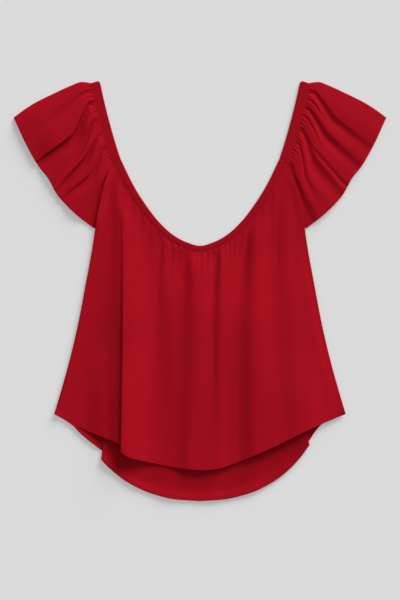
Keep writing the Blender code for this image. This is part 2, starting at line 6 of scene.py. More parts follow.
import bmesh
import bpy
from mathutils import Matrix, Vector


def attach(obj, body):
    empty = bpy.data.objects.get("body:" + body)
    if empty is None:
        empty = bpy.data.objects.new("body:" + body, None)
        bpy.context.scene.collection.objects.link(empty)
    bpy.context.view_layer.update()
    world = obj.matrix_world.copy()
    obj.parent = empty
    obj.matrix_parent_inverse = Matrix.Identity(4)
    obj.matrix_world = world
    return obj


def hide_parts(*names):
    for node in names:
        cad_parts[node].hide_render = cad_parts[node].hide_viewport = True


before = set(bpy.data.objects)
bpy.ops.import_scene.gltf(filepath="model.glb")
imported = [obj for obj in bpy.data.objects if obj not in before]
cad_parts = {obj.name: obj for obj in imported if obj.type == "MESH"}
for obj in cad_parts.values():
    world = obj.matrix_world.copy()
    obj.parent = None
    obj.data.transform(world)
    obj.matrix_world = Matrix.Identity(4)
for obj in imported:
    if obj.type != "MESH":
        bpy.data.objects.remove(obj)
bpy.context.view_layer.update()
MM = 0.001

# The table: a plain pale sheet of matt card with a painted glow of its own that lightens the shadows cast on
# it, wide enough to fill the view from every side. One large soft light stands at the upper right of an even
# pale room.
TABLE_HALF = 4.0
TABLE_DROP = 0.4 * MM
TABLE_COLOUR = (0.478, 0.474, 0.474)
# Painted glow of the card: an even light of its own that lightens the shadows cast on the table.
TABLE_PAINTED_GLOW = 0.286
TABLE_PAINTED_GLOW_COLOUR = (1.0, 0.993, 0.993, 1.0)
CARD_ROUGHNESS = 0.9
CARD_SPECULAR = 0.1
table_mesh = bpy.data.meshes.new("table")
bm = bmesh.new()
bmesh.ops.create_grid(bm, x_segments=1, y_segments=1, size=TABLE_HALF)
bm.to_mesh(table_mesh)
bm.free()
table = bpy.data.objects.new("table", table_mesh)
bpy.context.scene.collection.objects.link(table)
card = bpy.data.materials.new("pale_card_painted_glow")
card.use_nodes = True
card_shader = card.node_tree.nodes["Principled BSDF"]
card_shader.inputs["Base Color"].default_value = (*TABLE_COLOUR, 1.0)
# The card's painted glow, which lightens the shadows on it.
card_shader.inputs["Emission Color"].default_value = TABLE_PAINTED_GLOW_COLOUR
card_shader.inputs["Emission Strength"].default_value = TABLE_PAINTED_GLOW
card_shader.inputs["Roughness"].default_value = CARD_ROUGHNESS
card_shader.inputs["Specular IOR Level"].default_value = CARD_SPECULAR
table_mesh.materials.append(card)
table.location.z = -TABLE_DROP

KEY_AZIMUTH = math.radians(60)
KEY_HEIGHT = math.radians(22)
KEY_STRENGTH = 4.2
KEY_SOFTNESS = math.radians(34)
ROOM_STRENGTH = 0.387
key_light = bpy.data.lights.new("window", "SUN")
key_light.energy = KEY_STRENGTH
key_light.angle = KEY_SOFTNESS
key = bpy.data.objects.new("window", key_light)
bpy.context.scene.collection.objects.link(key)
towards_key = Vector((math.cos(KEY_AZIMUTH), math.sin(KEY_AZIMUTH), math.tan(KEY_HEIGHT)))
key.rotation_mode = "QUATERNION"
key.rotation_quaternion = towards_key.to_track_quat("Z", "Y")
room = bpy.data.worlds.new("room")
room.use_nodes = True
room.node_tree.nodes["Background"].inputs["Color"].default_value = (1.0, 1.0, 1.0, 1.0)
room.node_tree.nodes["Background"].inputs["Strength"].default_value = ROOM_STRENGTH
bpy.context.scene.world = room
bpy.context.scene.view_settings.view_transform = "Standard"

# The camera looks straight down. The photograph's frame is 0.76 m wide and 1.14 m high here.
FRAME_HEIGHT = 1.14
FRAME_MIDDLE = (0.0, -0.0175)
LENS = 85.0
SENSOR = 36.0
camera_data = bpy.data.cameras.new("camera")
camera_data.lens = LENS
camera_data.sensor_width = SENSOR
camera = bpy.data.objects.new("camera", camera_data)
bpy.context.scene.collection.objects.link(camera)
camera.location = (*FRAME_MIDDLE, FRAME_HEIGHT * LENS / SENSOR)
bpy.context.scene.camera = camera

# Back panel: a flared piece of red crepe, flat on the table with a narrow turned hem, stitched once. It
# is longer than the front and shows its inner side below it. Near the hem it lies over itself in a fold
# on each side. Distances "off" are from the centre line, and side is +1 for the wearer's left.
CLOTH = 0.8 * MM
PANEL_CORNER = (0.1674, 0.2392)
HEM_CORNER = (0.2762, -0.2336)
JOINT_OFF = 0.1515
JOINT_TOP = 0.2513
UNDERARM_Y = 0.1173
BACK_NECK_DROP = 3 * MM
NECK_EDGE = (
    (0.0, 0.0852),
    (0.0266, 0.0924),
    (0.0517, 0.1063),
    (0.0779, 0.1304),
    (0.1026, 0.1622),
    (0.1260, 0.1992),
    (JOINT_OFF, JOINT_TOP),
)
BINDING_WIDTH = ((0.0, 0.0100), (0.0600, 0.0115), (0.1100, 0.0132), (JOINT_OFF, 0.0145))
SIDE_EDGE = (
    (HEM_CORNER[1], HEM_CORNER[0]),
    (-0.1356, 0.2483),
    (-0.0628, 0.2312),
    (0.0124, 0.2168),
    (0.0803, 0.2044),
    (UNDERARM_Y, 0.1989),
    (0.1435, 0.1946),
    (0.2045, 0.1805),
    (PANEL_CORNER[1], PANEL_CORNER[0]),
)
BACK_HEM_GORES = {
    -1: ((0.1700, -0.3150), (0.1870, -0.3030), (0.2280, -0.2700), (0.2420, -0.2552), HEM_CORNER),
    1: ((0.1900, -0.3000), (0.2073, -0.2840), (0.2180, -0.2680), (0.2310, -0.2535), HEM_CORNER),
}
BACK_HEM = (
    (0.0, -0.3992),
    (0.0450, -0.3960),
    (0.0935, -0.3842),
    (0.1365, -0.3640),
    (0.1710, -0.3372),
    (0.1900, -0.3165),
    (0.2073, -0.2925),
)
BACK_HEM_WIDTH = 11 * MM
SIDE_LIFT = 3.6 * MM
SIDE_ROLL = 16 * MM
# How high and how far in a hem curls up, and the share of a gore's width past which the curl dies away.
HEM_CURL = 3.6 * MM
HEM_CURL_RUN = 22 * MM
CURL_COVERED = 0.75


def smooth(rows):
    """A function whose curve runs through the (place, value) rows and doesn't overshoot them."""
    rows = sorted(rows)
    steps = [(b[1] - a[1]) / (b[0] - a[0]) for a, b in zip(rows, rows[1:])]
    inner = [2 * a * b / (a + b) if a * b > 0 else 0.0 for a, b in zip(steps, steps[1:])]
    slopes = [steps[0], *inner, steps[-1]]

    def value(place):
        i = 0
        while i < len(steps) - 1 and place > rows[i + 1][0]:
            i += 1
        run = rows[i + 1][0] - rows[i][0]
        t = min(max((place - rows[i][0]) / run, 0.0), 1.0)
        start, end = rows[i][1], rows[i + 1][1]
        left = 1 - t
        return (
            start * (1 + 2 * t) * left * left
            + end * t * t * (3 - 2 * t)
            + run * t * left * (slopes[i] * left - slopes[i + 1] * t)
        )

    return value


def outline(points):
    """A function that gives the point (off, y) at a share, 0 to 1, of the length through the points."""
    lengths = [0.0]
    for a, b in zip(points, points[1:]):
        lengths.append(lengths[-1] + math.dist(a, b))
    shares = [length / lengths[-1] for length in lengths]
    off = smooth(tuple(zip(shares, (p[0] for p in points))))
    y = smooth(tuple(zip(shares, (p[1] for p in points))))
    return lambda share: (off(share), y(share))


def mix(a, b, share):
    return a + (b - a) * share


def ease(t):
    t = min(max(t, 0.0), 1.0)
    return t * t * (3 - 2 * t)


# How crisp the crest of a gather is: 1 is a straight flank, and more is a hollow one.
PLEAT_POWER = 1.2


def bump(distance, rise, fall):
    """Height, 0 to 1, of a soft ridge at a signed distance from its crest, with a flank on each side."""
    share = distance / (fall if distance > 0 else rise)
    return 0.5 + 0.5 * math.cos(math.pi * share) if abs(share) < 1 else 0.0


def pleat(distance, rise, fall):
    """Height, 0 to 1, of a gather: one steep flank up to a crisp crest, and a soft one down from it."""
    if distance < 0:
        return max(1 + distance / rise, 0.0) ** PLEAT_POWER
    return bump(distance, rise, fall)


def hollow(distance, half):
    """Depth, 0 to 1, of a narrow crease at a distance from its line."""
    return math.exp(-((distance / half) ** 2))


def spread(start, end, steps):
    return [mix(start, end, i / steps) for i in range(steps + 1)]


CLOTH_SPECULAR = 0.03
CLOTH_SHEEN = 0.03
SHEEN_ROUGHNESS = 0.45
SHEEN_RED = (1.0, 0.10, 0.16, 1.0)
# Uneven dye: a wide mottle and fine flecks, each with its shades. The flecks' scale is a share of the grain.
MOTTLE_SCALE = 22.0
MOTTLE_DETAIL = 4.0
MOTTLE_SHADES = (0.955, 1.045)
FLECK_SCALE = 0.5
FLECK_DETAIL = 2.0
FLECK_STRETCH = (1.0, 0.35, 1.0)
FLECK_SHADES = (0.90, 1.10)
SHADE_ENDS = (0.3, 0.7)
FLECK_MIX = 0.5
# Relief of the weave: weft lines, their scale as a share of the grain, over the crepe's own grain.
WEFT_SCALE = 0.55
WEFT_DISTORTION = 1.6
WEFT_DETAIL = 2.0
WEFT_WEIGHT = 0.35
CREPE_DETAIL = 3.0
CREPE_STRETCH = (1.0, 0.6, 1.0)
RELIEF_STRENGTH = 0.35
RELIEF_DEPTH = 0.25 * MM


def red_cloth(name, colour, grain, roughness):
    """Matt woven crepe: fine uneven grain, a slight mottle in the dye and a faint bloom at grazing angles."""
    cloth = bpy.data.materials.new(name)
    cloth.use_nodes = True
    nodes, links = cloth.node_tree.nodes, cloth.node_tree.links
    shader = nodes["Principled BSDF"]
    shader.inputs["Roughness"].default_value = roughness
    shader.inputs["Specular IOR Level"].default_value = CLOTH_SPECULAR
    shader.inputs["Sheen Weight"].default_value = CLOTH_SHEEN
    shader.inputs["Sheen Roughness"].default_value = SHEEN_ROUGHNESS
    shader.inputs["Sheen Tint"].default_value = SHEEN_RED
    place = nodes.new("ShaderNodeTexCoord")

    def noise(scale, detail, stretch=(1.0, 1.0, 1.0)):
        mapping = nodes.new("ShaderNodeMapping")
        mapping.inputs["Scale"].default_value = stretch
        links.new(place.outputs["Object"], mapping.inputs["Vector"])
        texture = nodes.new("ShaderNodeTexNoise")
        texture.inputs["Scale"].default_value = scale
        texture.inputs["Detail"].default_value = detail
        links.new(mapping.outputs["Vector"], texture.inputs["Vector"])
        return texture.outputs["Fac"]

    def shades(source, low, high):
        ramp = nodes.new("ShaderNodeValToRGB")
        first, last = ramp.color_ramp.elements
        first.position, last.position = SHADE_ENDS
        first.color = (*(c * low for c in colour), 1.0)
        last.color = (*(c * high for c in colour), 1.0)
        links.new(source, ramp.inputs["Fac"])
        return ramp.outputs["Color"]

    dye = nodes.new("ShaderNodeMix")
    dye.data_type = "RGBA"
    dye.inputs["Factor"].default_value = FLECK_MIX
    links.new(shades(noise(MOTTLE_SCALE, MOTTLE_DETAIL), *MOTTLE_SHADES), dye.inputs["A"])
    flecks = noise(grain * FLECK_SCALE, FLECK_DETAIL, FLECK_STRETCH)
    links.new(shades(flecks, *FLECK_SHADES), dye.inputs["B"])
    links.new(dye.outputs["Result"], shader.inputs["Base Color"])
    weft = nodes.new("ShaderNodeTexWave")
    weft.bands_direction = "Y"
    weft.inputs["Scale"].default_value = grain * WEFT_SCALE
    weft.inputs["Distortion"].default_value = WEFT_DISTORTION
    weft.inputs["Detail"].default_value = WEFT_DETAIL
    links.new(place.outputs["Object"], weft.inputs["Vector"])
    crepe = nodes.new("ShaderNodeMath")
    crepe.operation = "MULTIPLY_ADD"
    crepe.inputs[1].default_value = WEFT_WEIGHT
    links.new(weft.outputs["Fac"], crepe.inputs[0])
    links.new(noise(grain, CREPE_DETAIL, CREPE_STRETCH), crepe.inputs[2])
    surface = nodes.new("ShaderNodeBump")
    surface.inputs["Strength"].default_value = RELIEF_STRENGTH
    surface.inputs["Distance"].default_value = RELIEF_DEPTH
    links.new(crepe.outputs["Value"], surface.inputs["Height"])
    links.new(surface.outputs["Normal"], shader.inputs["Normal"])
    return cloth


def sheet(name, columns, rows, place, wall, material):
    """One cut piece: a grid of columns by rows, put in place point by point, with an even wall."""
    bm = bmesh.new()
    across, down = len(columns) - 1, len(rows) - 1
    bmesh.ops.create_grid(bm, x_segments=across, y_segments=down, size=1.0)
    for vert in bm.verts:
        column = columns[round((vert.co.x + 1) / 2 * across)]
        row = rows[round((1 - vert.co.y) / 2 * down)]
        vert.co = place(column, row)
    mesh = bpy.data.meshes.new(name)
    bm.to_mesh(mesh)
    bm.free()
    mesh.materials.append(material)
    mesh.shade_smooth()
    piece = bpy.data.objects.new(name, mesh)
    bpy.context.scene.collection.objects.link(piece)
    solid = piece.modifiers.new("Wall", "SOLIDIFY")
    solid.thickness = wall
    solid.offset = 0.0
    return piece


# A step longer than this is a jump between two stretches of a path, and gets no stitches.
LONGEST_RUN = 5.5 * MM
STITCH_PITCH = 3.0 * MM
STITCH_LENGTH = 2.3 * MM
THREAD = 0.6 * MM


def stitching(name, paths, depth, material):
    """Rows of machine stitches on both faces of the cloth, along paths of close points."""
    bm = bmesh.new()
    travelled, due = 0.0, STITCH_PITCH / 2
    for a, b in [step for path in paths for step in zip(path, path[1:])]:
        run = (b - a).length
        if run > LONGEST_RUN:
            continue
        while run > 0 and travelled + run >= due:
            middle = a.lerp(b, (due - travelled) / run)
            along = (b - a).normalized() * STITCH_LENGTH / 2
            aside = along.cross(Vector((0, 0, 1))).normalized() * THREAD / 2
            up = Vector((0, 0, depth))
            ring = [bm.verts.new(middle + p) for p in (aside, up, -aside, -up)]
            ends = [bm.verts.new(middle + along), bm.verts.new(middle - along)]
            for i in range(4):
                bm.faces.new((ring[i], ring[(i + 1) % 4], ends[0]))
                bm.faces.new((ring[(i + 1) % 4], ring[i], ends[1]))
            due += STITCH_PITCH
        travelled += run
    bmesh.ops.recalc_face_normals(bm, faces=bm.faces)
    mesh = bpy.data.meshes.new(name)
    bm.to_mesh(mesh)
    bm.free()
    mesh.materials.append(material)
    mesh.shade_smooth()
    row = bpy.data.objects.new(name, mesh)
    bpy.context.scene.collection.objects.link(row)
    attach(row, "root")
    return row


neck_edge = smooth([(-off, y) for off, y in NECK_EDGE[1:]] + list(NECK_EDGE))
binding_width = smooth(BINDING_WIDTH)
side_edge = smooth(SIDE_EDGE)
# From this distance off the centre on, the binding's ends turn to the line of the strap joint.
JOINT_TURN = 0.130
SEAM_STEPS = 24


def binding_point(off, distance, drop):
    """A point of the binding at a distance out from its inner edge; drop lowers it at the centre."""
    reach = 1 * MM
    slope = (neck_edge(abs(off)) - neck_edge(abs(off) - reach)) / reach
    normal = (slope / math.hypot(1, slope), -1 / math.hypot(1, slope))
    joint = (PANEL_CORNER[0] - JOINT_OFF, PANEL_CORNER[1] - JOINT_TOP)
    end = ease((abs(off) - JOINT_TURN) / (JOINT_OFF - JOINT_TURN))
    out = mix(normal[0], joint[0] / math.hypot(*joint), end)
    down = mix(normal[1], joint[1] / math.hypot(*joint), end)
    y = neck_edge(off) - drop * (1 - abs(off) / JOINT_OFF)
    return off + math.copysign(out * distance, off), y + down * distance


def panel_seam(drop, tuck):
    """The neck edge of a panel: y at a distance off the centre; tuck is how far it goes into the binding."""
    rows = []
    for off in spread(0.0, JOINT_OFF, SEAM_STEPS):
        rows.append(binding_point(off, binding_width(off) - tuck, drop))
    in_binding = smooth(rows)
    end_off, end_y = rows[-1]

    def seam(off):
        if off <= end_off:
            return in_binding(off)
        return mix(end_y, PANEL_CORNER[1], (off - end_off) / (PANEL_CORNER[0] - end_off))

    return seam


NECK_TUCK = 3.5 * MM
back_neck_seam = panel_seam(BACK_NECK_DROP, NECK_TUCK)


def side_point(v):
    """The armhole and side edge at the share v of the way from the strap joint to the hem."""
    y = mix(PANEL_CORNER[1], HEM_CORNER[1], v)
    return side_edge(y), y


# A laid-over fold. Going in from the side seam, the cloth turns up and back by an angle, runs back for
# the fold's depth, and turns again to go on towards the centre on top. "edge" is where its rim shows.
FOLD_STAGES = 3.0
FLAT_FOLD_WIDTH = 14 * MM
FOLD_FORMED = math.radians(90)
HEM_THICKER = 0.12 * MM
HEM_FADE = 5 * MM
HEM_GROOVE = 0.18 * MM
HEM_GROOVE_HALF = 0.9 * MM


def laid_fold(edge, angle, depth, radius):
    return {"edge": smooth(edge), "angle": smooth(angle), "depth": smooth(depth), "radius": radius}


def fold_step(fold, stage, v):
    """How far the cloth has gone in and up at a stage of the fold: 1, 2 and 3 end its turn, run and turn."""
    angle = math.radians(fold["angle"](v))
    depth, radius = fold["depth"](v), fold["radius"]
    first = angle * min(stage, 1.0)
    inward = radius * math.sin(first)
    upward = radius * (1 - math.cos(first))
    if stage > 1:
        run = depth * (min(stage, 2.0) - 1)
        inward += run * math.cos(angle)
        upward += run * math.sin(angle)
    if stage > 2:
        left = angle - angle * (stage - 2)
        inward += radius * (math.sin(angle) - math.sin(left))
        upward += radius * (math.cos(left) - math.cos(angle))
    inward += FLAT_FOLD_WIDTH * stage / FOLD_STAGES * (1 - ease(angle / FOLD_FORMED))
    return inward, upward


def fold_top(fold, v):
    """Distance off the centre at which the cloth leaves the fold, on top."""
    return fold["edge"](v) - fold["radius"]


def fold_start(fold, v):
    """Distance off the centre at which the cloth comes to the fold, underneath."""
    return fold_top(fold, v) + fold_step(fold, FOLD_STAGES, v)[0]


def across(fold, zone, amount, v, settle):
    """How far off the centre, and how high up its laid fold, a place across a panel comes at v."""
    start, top = fold_start(fold, v), fold_top(fold, v)
    if zone == "gore":
        return mix(side_point(v)[0], start, amount), 0.0
    if zone == "fold":
        inward, up = fold_step(fold, amount, v)
        return start - inward, up
    off = top * amount
    return off, fold_step(fold, FOLD_STAGES, v)[1] * (1 - ease((top - off) / settle))


def hem_height(fold, zone, amount, gore_hem, hem):
    """y of the hem at a place across a panel."""
    start, top = fold_start(fold, 1.0), fold_top(fold, 1.0)
    if zone == "gore":
        return gore_hem(mix(HEM_CORNER[0], start, amount))
    if zone == "fold":
        return mix(gore_hem(start), hem(top), amount / FOLD_STAGES)
    return hem(top * amount)


def turned_hem(distance, width):
    """Height that a turned hem adds at a distance from its edge: a double layer and a stitch groove."""
    doubled = HEM_THICKER * (1 - ease((distance - width) / HEM_FADE))
    return doubled - HEM_GROOVE * hollow(distance - width, HEM_GROOVE_HALF)


def panel_columns(gore_steps, centre_steps, fold_steps, folded):
    """The columns of a panel from the wearer's right side seam to the left one, with its folded sides."""
    gore = spread(0.0, 1.0, gore_steps)
    centre = spread(1.0, 0.0, centre_steps)
    stages = spread(0.0, FOLD_STAGES, fold_steps)[1:]

    def half(side):
        columns = [(side, "gore", amount) for amount in gore]
        if side in folded:
            columns += [(side, "fold", stage) for stage in stages]
        return columns + [(side, "centre", amount) for amount in centre[1:]]

    return half(-1) + list(reversed(half(1)))[1:]


BACK_FOLD_ANGLE = ((0.0, 0.0), (0.68, 0.0), (0.76, 80.0), (0.84, 155.0), (0.92, 176.0), (1.0, 178.0))
BACK_FOLD_DEPTH = (
    (0.0, 0.0),
    (0.68, 0.0),
    (0.76, 0.8 * MM),
    (0.84, 3 * MM),
    (0.92, 7.5 * MM),
    (1.0, 9.5 * MM),
)
BACK_FOLD_RADIUS = 0.9 * MM
BACK_RIM = {
    -1: ((0.0, 0.1400), (0.6, 0.1690), (0.9, 0.1815), (1.0, 0.1872)),
    1: ((0.0, 0.1400), (0.6, 0.1800), (0.9, 0.2010), (1.0, 0.2073)),
}
BACK_FOLDS = {
    side: laid_fold(rim, BACK_FOLD_ANGLE, BACK_FOLD_DEPTH, BACK_FOLD_RADIUS)
    for side, rim in BACK_RIM.items()
}
BACK_SETTLE = 0.040
# Soft swells of the back: x of the crest, height at the waist and below the front's hem, and half width.
BACK_SWELLS = (
    (-0.135, 0.6 * MM, 1.2 * MM, 0.030),
    (-0.060, 0.8 * MM, 1.6 * MM, 0.036),
    (0.022, 0.5 * MM, 1.0 * MM, 0.030),
    (0.100, 0.9 * MM, 1.8 * MM, 0.040),
    (0.165, 0.5 * MM, 1.2 * MM, 0.026),
)
SWELL_START = 0.12
SWELL_HEM_START = 0.72
SWELL_GROW = 0.25
SIDE_LIFT_START = 0.1
TABLE_CLEAR = 0.2 * MM
BACK_LEVEL = CLOTH / 2 + TABLE_CLEAR
back_hem_gores = {side: smooth(rows) for side, rows in BACK_HEM_GORES.items()}
back_hem = smooth(BACK_HEM)


def curl_share(zone, amount):
    """How much of its curl the back's hem has at a place: none where a laid fold covers it."""
    if zone == "gore":
        return 1 - ease((amount - CURL_COVERED) / (1 - CURL_COVERED))
    if zone == "fold":
        return ease((amount - 1) / 2)
    return 1.0


def back_point(column, v):
    side, zone, amount = column
    fold = BACK_FOLDS[side]
    off, lift = across(fold, zone, amount, v, BACK_SETTLE)
    seam_off = across(fold, zone, amount, 0.0, BACK_SETTLE)[0]
    hem_y = hem_height(fold, zone, amount, back_hem_gores[side], back_hem)
    seam_y = back_neck_seam(seam_off)
    y = mix(seam_y, hem_y, v)
    from_hem = (1 - v) * (seam_y - hem_y)
    height = BACK_LEVEL + lift + turned_hem(from_hem, BACK_HEM_WIDTH)
    height += HEM_CURL * (1 - ease(from_hem / HEM_CURL_RUN)) * curl_share(zone, amount)
    if zone == "gore":
        height += SIDE_LIFT * (1 - ease((side_point(v)[0] - off) / SIDE_ROLL)) * ease(v / SIDE_LIFT_START)
    if zone == "centre":
        for x, waist, hem, half in BACK_SWELLS:
            high = waist * ease((v - SWELL_START) / SWELL_GROW)
            high += (hem - waist) * ease((v - SWELL_HEM_START) / SWELL_GROW)
            height += high * bump(side * off - x, half, half)
    return side * off, y, height


CREPE_GRAIN = 1500.0
THREAD_GRAIN = 3000.0
CREPE_COLOUR = (0.362, 0.0037, 0.0118)
# The back's darker red is partly its inner face and partly painted shade, for the shade under the front's
# hem.
INSIDE_AND_SHADE_COLOUR = (0.330, 0.0034, 0.0106)
THREAD_COLOUR = (0.13, 0.0020, 0.0050)
crepe_red = red_cloth("red_crepe", CREPE_COLOUR, CREPE_GRAIN, roughness=0.70)
crepe_inside_and_shade = red_cloth("red_crepe_inside_and_shade", INSIDE_AND_SHADE_COLOUR, CREPE_GRAIN, roughness=0.72)
thread_red = red_cloth("red_thread", THREAD_COLOUR, THREAD_GRAIN, roughness=0.60)

# The rows of the mesh lie closer at the hem, at these distances in millimetres from its edge.
BACK_LENGTH = 0.50
BACK_HEM_ROWS = (20, 16.5, 14, 13, 12.2, 11.4, 10.7, 10, 9, 7.5, 5, 2.5, 1, 0)
BACK_ROW_STEPS = 74
BACK_LAST_STEP = 0.01
back_hem_rows = [1 - distance * MM / BACK_LENGTH for distance in BACK_HEM_ROWS]
back_rows = spread(0.0, back_hem_rows[0] - BACK_LAST_STEP, BACK_ROW_STEPS) + back_hem_rows
back_columns = panel_columns(gore_steps=26, centre_steps=56, fold_steps=24, folded=(-1, 1))
# The back panel wears the darker red: its inner face together with painted shade.
back_panel = sheet("back_panel_cloth", back_columns, back_rows, back_point, CLOTH, crepe_inside_and_shade)


def hem_paths(columns, point, width):
    """The lines of a panel's hem stitches, a hem's width from its edge, on both sides of each laid fold."""
    paths = [[]]
    for column in columns:
        if column[1] == "fold":
            if paths[-1]:
                paths.append([])
            continue
        length = point(column, 0.0)[1] - point(column, 1.0)[1]
        paths[-1].append(Vector(point(column, 1 - width / length)))
    return paths


STITCH_DEPTH = 0.50 * MM
back_stitches = stitching(
    "back_hem_stitches",
    hem_paths(back_columns, back_point, BACK_HEM_WIDTH),
    STITCH_DEPTH,
    thread_red,
)
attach(back_panel, "root")
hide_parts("back_panel")

# Front panel: a flared piece of the same crepe, gathered along the scooped neck, with a turned hem. It
# has fallen into one laid-over fold on the wearer's right and long soft ridges down the rest.
FRONT_HEM_WIDTH = 12 * MM
FRONT_BAND_LEVEL = 3.3 * MM
SIDE_SEAM_LEVEL = 5.2 * MM
ARMHOLE_LEVEL = {-1: 10 * MM, 1: 6.2 * MM}
FRONT_LEVEL = 3.6 * MM
FRONT_HEM_RIGHT_GORE = ((0.1235, -0.3014), (0.1507, -0.2904), (0.2280, -0.2602), HEM_CORNER)
FRONT_HEM_RIGHT = (
    (0.0, -0.3400),
    (0.0462, -0.3358),
    (0.0977, -0.3252),
    (0.1372, -0.3132),
    (0.1492, -0.3041),
)
FRONT_HEM_LEFT = (
    (0.0, -0.3400),
    (0.0234, -0.3389),
    (0.0599, -0.3297),
    (0.0992, -0.3132),
    (0.1507, -0.2904),
    (0.2022, -0.2648),
    HEM_CORNER,
)
FRONT_FOLD = laid_fold(
    edge=((0.0, 0.1400), (0.12, 0.1440), (0.25, 0.1456), (0.6, 0.1462), (1.0, 0.1492)),
    angle=((0.0, 0.0), (0.08, 25.0), (0.25, 62.0), (0.5, 95.0), (0.75, 140.0), (1.0, 168.0)),
    depth=((0.0, 0.0), (0.08, 0.7 * MM), (0.25, 2.2 * MM), (0.5, 3.8 * MM), (0.75, 7.5 * MM), (1.0, 14 * MM)),
    radius=0.95 * MM,
)
# The wearer's left has no laid fold, only a line from which its outer part is measured.
PLAIN_FOLD = laid_fold(
    edge=((0.0, 0.1500), (1.0, 0.1650)),
    angle=((0.0, 0.0), (1.0, 0.0)),
    depth=((0.0, 0.0), (1.0, 0.0)),
    radius=0.0,
)
FRONT_FOLDS = {-1: FRONT_FOLD, 1: PLAIN_FOLD}
front_hem_gore = {-1: smooth(FRONT_HEM_RIGHT_GORE), 1: smooth(FRONT_HEM_LEFT)}
front_hem = {-1: smooth(FRONT_HEM_RIGHT), 1: smooth(FRONT_HEM_LEFT)}
front_neck_seam = panel_seam(0.0, NECK_TUCK)

# Long soft ridges and valleys: x of each line that runs down the front, where it passes the neck, the waist
# and the hem, and how high the cloth lies along it there.
RIDGE_ROWS_Y = (0.077, -0.074, -0.290)
FRONT_RIDGES = (
    # x neck, x waist, x hem, height neck, height waist, height hem
    (-0.2050, -0.2320, -0.2620, 1.8 * MM, 0.4 * MM, 0.0),
    (-0.1900, -0.2060, -0.2160, 1.8 * MM, 0.4 * MM, 0.2 * MM),
    (-0.1740, -0.1760, -0.1760, 2.0 * MM, 3.2 * MM, 2.6 * MM),
    (-0.1444, -0.1444, -0.1473, 7.6 * MM, 10.6 * MM, 10.2 * MM),
    (-0.0950, -0.0820, -0.0900, 2.2 * MM, 2.8 * MM, -0.6 * MM),
    (-0.0684, -0.0520, -0.0580, 3.2 * MM, 6.4 * MM, 0.8 * MM),
    (-0.0342, -0.0360, -0.0420, 2.6 * MM, 6.8 * MM, 2.6 * MM),
    (-0.0133, -0.0057, -0.0170, 6.2 * MM, 10.6 * MM, 7.2 * MM),
    (0.0250, 0.0228, 0.0240, 4.0 * MM, 8.8 * MM, 6.4 * MM),
    (0.0400, 0.0361, 0.0361, 7.2 * MM, 11.2 * MM, 6.2 * MM),
    (0.0646, 0.0600, 0.0540, 5.0 * MM, 10.4 * MM, 3.6 * MM),
    (0.0800, 0.0703, 0.0700, 4.8 * MM, 10.8 * MM, 3.0 * MM),
    (0.0990, 0.1000, 0.1064, 9.6 * MM, 15.8 * MM, 10.4 * MM),
    (0.1470, 0.1500, 0.1672, 3.8 * MM, 8.4 * MM, 6.2 * MM),
    (0.1570, 0.1691, 0.1900, 5.4 * MM, 9.0 * MM, 8.0 * MM),
    (0.1800, 0.2050, 0.2280, 3.8 * MM, 6.0 * MM, 5.0 * MM),
    (0.2090, 0.2360, 0.2700, 2.4 * MM, 2.6 * MM, 1.8 * MM),
)
# Gathers under the binding: x of the crest at the seam, height, width of its flank towards -X and towards
# +X, and how far down it runs.
GATHERS = (
    (-0.1370, 1.4 * MM, 6 * MM, 12 * MM, 0.045),
    (-0.1216, 1.8 * MM, 6 * MM, 12 * MM, 0.045),
    (-0.1045, 2.0 * MM, 6 * MM, 12 * MM, 0.045),
    (-0.0912, 1.8 * MM, 4 * MM, 9 * MM, 0.025),
    (-0.0760, 1.7 * MM, 3 * MM, 8 * MM, 0.020),
    (-0.0660, 2.8 * MM, 7 * MM, 30 * MM, 0.130),
    (-0.0475, 2.6 * MM, 5 * MM, 13 * MM, 0.045),
    (-0.0360, 1.8 * MM, 4 * MM, 9 * MM, 0.035),
    (-0.0133, 5.6 * MM, 16 * MM, 40 * MM, 0.120),
    (-0.0040, 1.4 * MM, 3 * MM, 8 * MM, 0.020),
    (0.0066, 2.8 * MM, 5 * MM, 11 * MM, 0.035),
    (0.0180, 1.8 * MM, 5 * MM, 10 * MM, 0.045),
    (0.0275, 2.2 * MM, 4 * MM, 9 * MM, 0.030),
    (0.0400, 4.8 * MM, 8 * MM, 44 * MM, 0.160),
    (0.0500, 1.8 * MM, 3 * MM, 8 * MM, 0.020),
    (0.0590, 2.2 * MM, 4 * MM, 9 * MM, 0.030),
    (0.0675, 1.8 * MM, 4 * MM, 9 * MM, 0.030),
    (0.0820, 2.2 * MM, 5 * MM, 10 * MM, 0.030),
    (0.1045, 6.4 * MM, 14 * MM, 50 * MM, 0.160),
    (0.1215, 2.0 * MM, 5 * MM, 10 * MM, 0.025),
    (0.1290, 1.5 * MM, 3 * MM, 7 * MM, 0.020),
    (0.1425, 2.8 * MM, 9 * MM, 16 * MM, 0.090),
    (0.1600, 2.4 * MM, 8 * MM, 14 * MM, 0.090),
)
# A gather widens as it goes down, and ends at its reach, counted in its own lengths. The more it stands
# above a small one, the longer it takes to rise. Beside its steep flank is a foot as deep as it is high.
GATHER_SPREAD = 0.20
GATHER_CLIMB = 5
SMALL_GATHER = 1.6 * MM
GATHER_FOOT = 1.5
GATHER_REACH = 4
# Fine tucks between the gathers: their pitch, depth and length, how uneven they are, how their pitch drifts
# along the seam, and where they die away towards the strap joints.
TUCK_PITCH = 5.2 * MM
TUCK_DEPTH = 0.25 * MM
TUCK_RUN = 6 * MM
TUCK_LEAST = 0.6
TUCK_UNEVEN = 0.4
TUCK_UNEVEN_WAVE = 91
TUCK_UNEVEN_SHIFT = 1.3
TUCK_DRIFT = 1.8
TUCK_DRIFT_WAVE = 47
TUCK_END = 0.09
TUCK_END_FADE = 0.05
